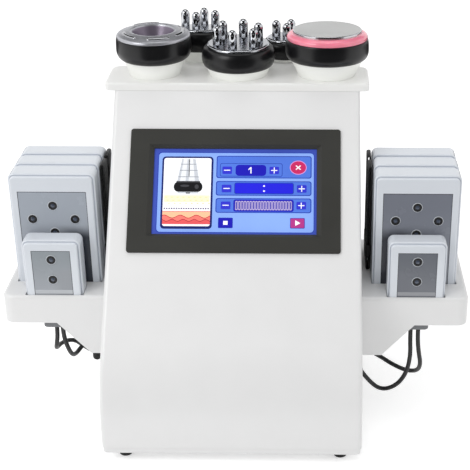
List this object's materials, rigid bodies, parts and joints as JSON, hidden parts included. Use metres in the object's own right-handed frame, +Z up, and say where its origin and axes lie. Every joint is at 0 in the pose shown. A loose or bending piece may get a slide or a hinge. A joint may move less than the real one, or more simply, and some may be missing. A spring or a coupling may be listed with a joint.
{
  "type": "cavitation slimming machine",
  "caption": "Desktop body-care machine with a sloping touch screen, applicators standing in a top tray and light pads standing on side wings.",
  "frame": {"origin": "on the table, under the middle of the machine's bounding box", "axes": "+X to the machine's right as seen from its front, +Y to the rear, +Z up"},
  "size_m": [0.513, 0.366, 0.4109],
  "materials": {
    "case_white": "satin white moulding",
    "rear_cover_white": "matte white moulding",
    "base_metal": "powder coated grey",
    "foot_rubber": "matte black rubber",
    "bezel_grey": "warm dark grey",
    "display_glass": "lit blue screen behind flat glass",
    "outlet_grey": "grey moulding",
    "strap_fabric": "black woven elastic",
    "board_green": "green board",
    "supply_metal": "folded sheet",
    "pump_metal": "cast and turned",
    "black_plastic": "matte black moulding",
    "screw_steel": "steel",
    "grip_black": "smooth soft black",
    "ring_silver": "satin silver",
    "electrode_chrome": "polished",
    "light_ring_pink": "translucent pink",
    "disc_steel": "satin steel",
    "pad_white": "white moulding",
    "pad_window_grey": "tinted grey",
    "lead_black": "black sheathed lead"
  },
  "bodies": {
    "machine": {"case_shell": "case_white", "rear_cover": "rear_cover_white", "base_plate": "base_metal", "rubber_feet": "foot_rubber", "top_tray": "case_white", "screen_bezel": "bezel_grey", "touch_display": "display_glass", "left_wing": "case_white", "right_wing": "case_white", "cord_outlets": "outlet_grey", "lead_domes": "foot_rubber", "left_straps": "strap_fabric", "right_straps": "strap_fabric", "control_board": "board_green", "power_supply": "supply_metal", "vacuum_pump": "pump_metal", "fan_frame": "black_plastic", "mains_inlet": "black_plastic", "handle_sockets": "black_plastic", "panel_screws": "screw_steel", "left_lead_front": "lead_black", "left_lead_rear": "lead_black", "right_lead_front": "lead_black", "right_lead_rear": "lead_black"},
    "vacuum_applicator": {"vacuum_handle": "case_white", "vacuum_grip_band": "grip_black", "vacuum_ring": "ring_silver", "vacuum_electrodes": "electrode_chrome"},
    "six_pin_applicator": {"six_pin_handle": "case_white", "six_pin_grip_band": "grip_black", "six_pin_head": "electrode_chrome"},
    "cavitation_applicator": {"cavitation_handle": "case_white", "cavitation_grip_band": "grip_black", "cavitation_light_ring": "light_ring_pink", "cavitation_disc": "disc_steel"},
    "four_pin_applicator": {"four_pin_handle": "case_white", "four_pin_grip_band": "grip_black", "four_pin_head": "electrode_chrome"},
    "three_pin_applicator": {"three_pin_handle": "case_white", "three_pin_grip_band": "grip_black", "three_pin_head": "electrode_chrome"},
    "rotor": {"fan_rotor": "black_plastic"},
    "rocker": {"power_rocker": "black_plastic"},
    "left_small_pad": {"left_small_pad_housing": "pad_white", "left_small_pad_window": "pad_window_grey"},
    "left_large_pad_1": {"left_large_pad_1_housing": "pad_white", "left_large_pad_1_window": "pad_window_grey"},
    "left_large_pad_2": {"left_large_pad_2_housing": "pad_white", "left_large_pad_2_window": "pad_window_grey"},
    "left_large_pad_3": {"left_large_pad_3_housing": "pad_white", "left_large_pad_3_window": "pad_window_grey"},
    "right_small_pad": {"right_small_pad_housing": "pad_white", "right_small_pad_window": "pad_window_grey"},
    "right_large_pad_1": {"right_large_pad_1_housing": "pad_white", "right_large_pad_1_window": "pad_window_grey"},
    "right_large_pad_2": {"right_large_pad_2_housing": "pad_white", "right_large_pad_2_window": "pad_window_grey"},
    "right_large_pad_3": {"right_large_pad_3_housing": "pad_white", "right_large_pad_3_window": "pad_window_grey"}
  },
  "joints": [
    {"name": "vacuum_applicator_lift", "type": "slide", "parent": "machine", "child": "vacuum_applicator", "axis": [0, 0, 1], "range_m": [0, 0.16]},
    {"name": "six_pin_applicator_lift", "type": "slide", "parent": "machine", "child": "six_pin_applicator", "axis": [0, 0, 1], "range_m": [0, 0.16]},
    {"name": "cavitation_applicator_lift", "type": "slide", "parent": "machine", "child": "cavitation_applicator", "axis": [0, 0.0349, 0.9994], "range_m": [0, 0.16]},
    {"name": "four_pin_applicator_lift", "type": "slide", "parent": "machine", "child": "four_pin_applicator", "axis": [0, 0.1219, 0.9925], "range_m": [0, 0.16]},
    {"name": "three_pin_applicator_lift", "type": "slide", "parent": "machine", "child": "three_pin_applicator", "axis": [0, 0, 1], "range_m": [0, 0.16]},
    {"name": "left_small_pad_lift", "type": "slide", "parent": "machine", "child": "left_small_pad", "axis": [0, 0, 1], "range_m": [0, 0.15]},
    {"name": "left_large_pad_1_lift", "type": "slide", "parent": "machine", "child": "left_large_pad_1", "axis": [0, 0, 1], "range_m": [0, 0.15]},
    {"name": "left_large_pad_2_lift", "type": "slide", "parent": "machine", "child": "left_large_pad_2", "axis": [0, 0, 1], "range_m": [0, 0.15]},
    {"name": "left_large_pad_3_lift", "type": "slide", "parent": "machine", "child": "left_large_pad_3", "axis": [0, 0, 1], "range_m": [0, 0.15]},
    {"name": "right_small_pad_lift", "type": "slide", "parent": "machine", "child": "right_small_pad", "axis": [0, 0, 1], "range_m": [0, 0.15]},
    {"name": "right_large_pad_1_lift", "type": "slide", "parent": "machine", "child": "right_large_pad_1", "axis": [0, 0, 1], "range_m": [0, 0.15]},
    {"name": "right_large_pad_2_lift", "type": "slide", "parent": "machine", "child": "right_large_pad_2", "axis": [0, 0, 1], "range_m": [0, 0.15]},
    {"name": "right_large_pad_3_lift", "type": "slide", "parent": "machine", "child": "right_large_pad_3", "axis": [0, 0, 1], "range_m": [0, 0.15]},
    {"name": "fan_spin", "type": "hinge", "parent": "machine", "child": "rotor", "pos_m": [0.062, 0.1585, 0.106], "axis": [0, 1, 0], "continuous": true},
    {"name": "rocker_tilt", "type": "hinge", "parent": "machine", "child": "rocker", "pos_m": [-0.095, 0.1785, 0.092], "axis": [1, 0, 0], "range_deg": [-9, 9]}
  ]
}
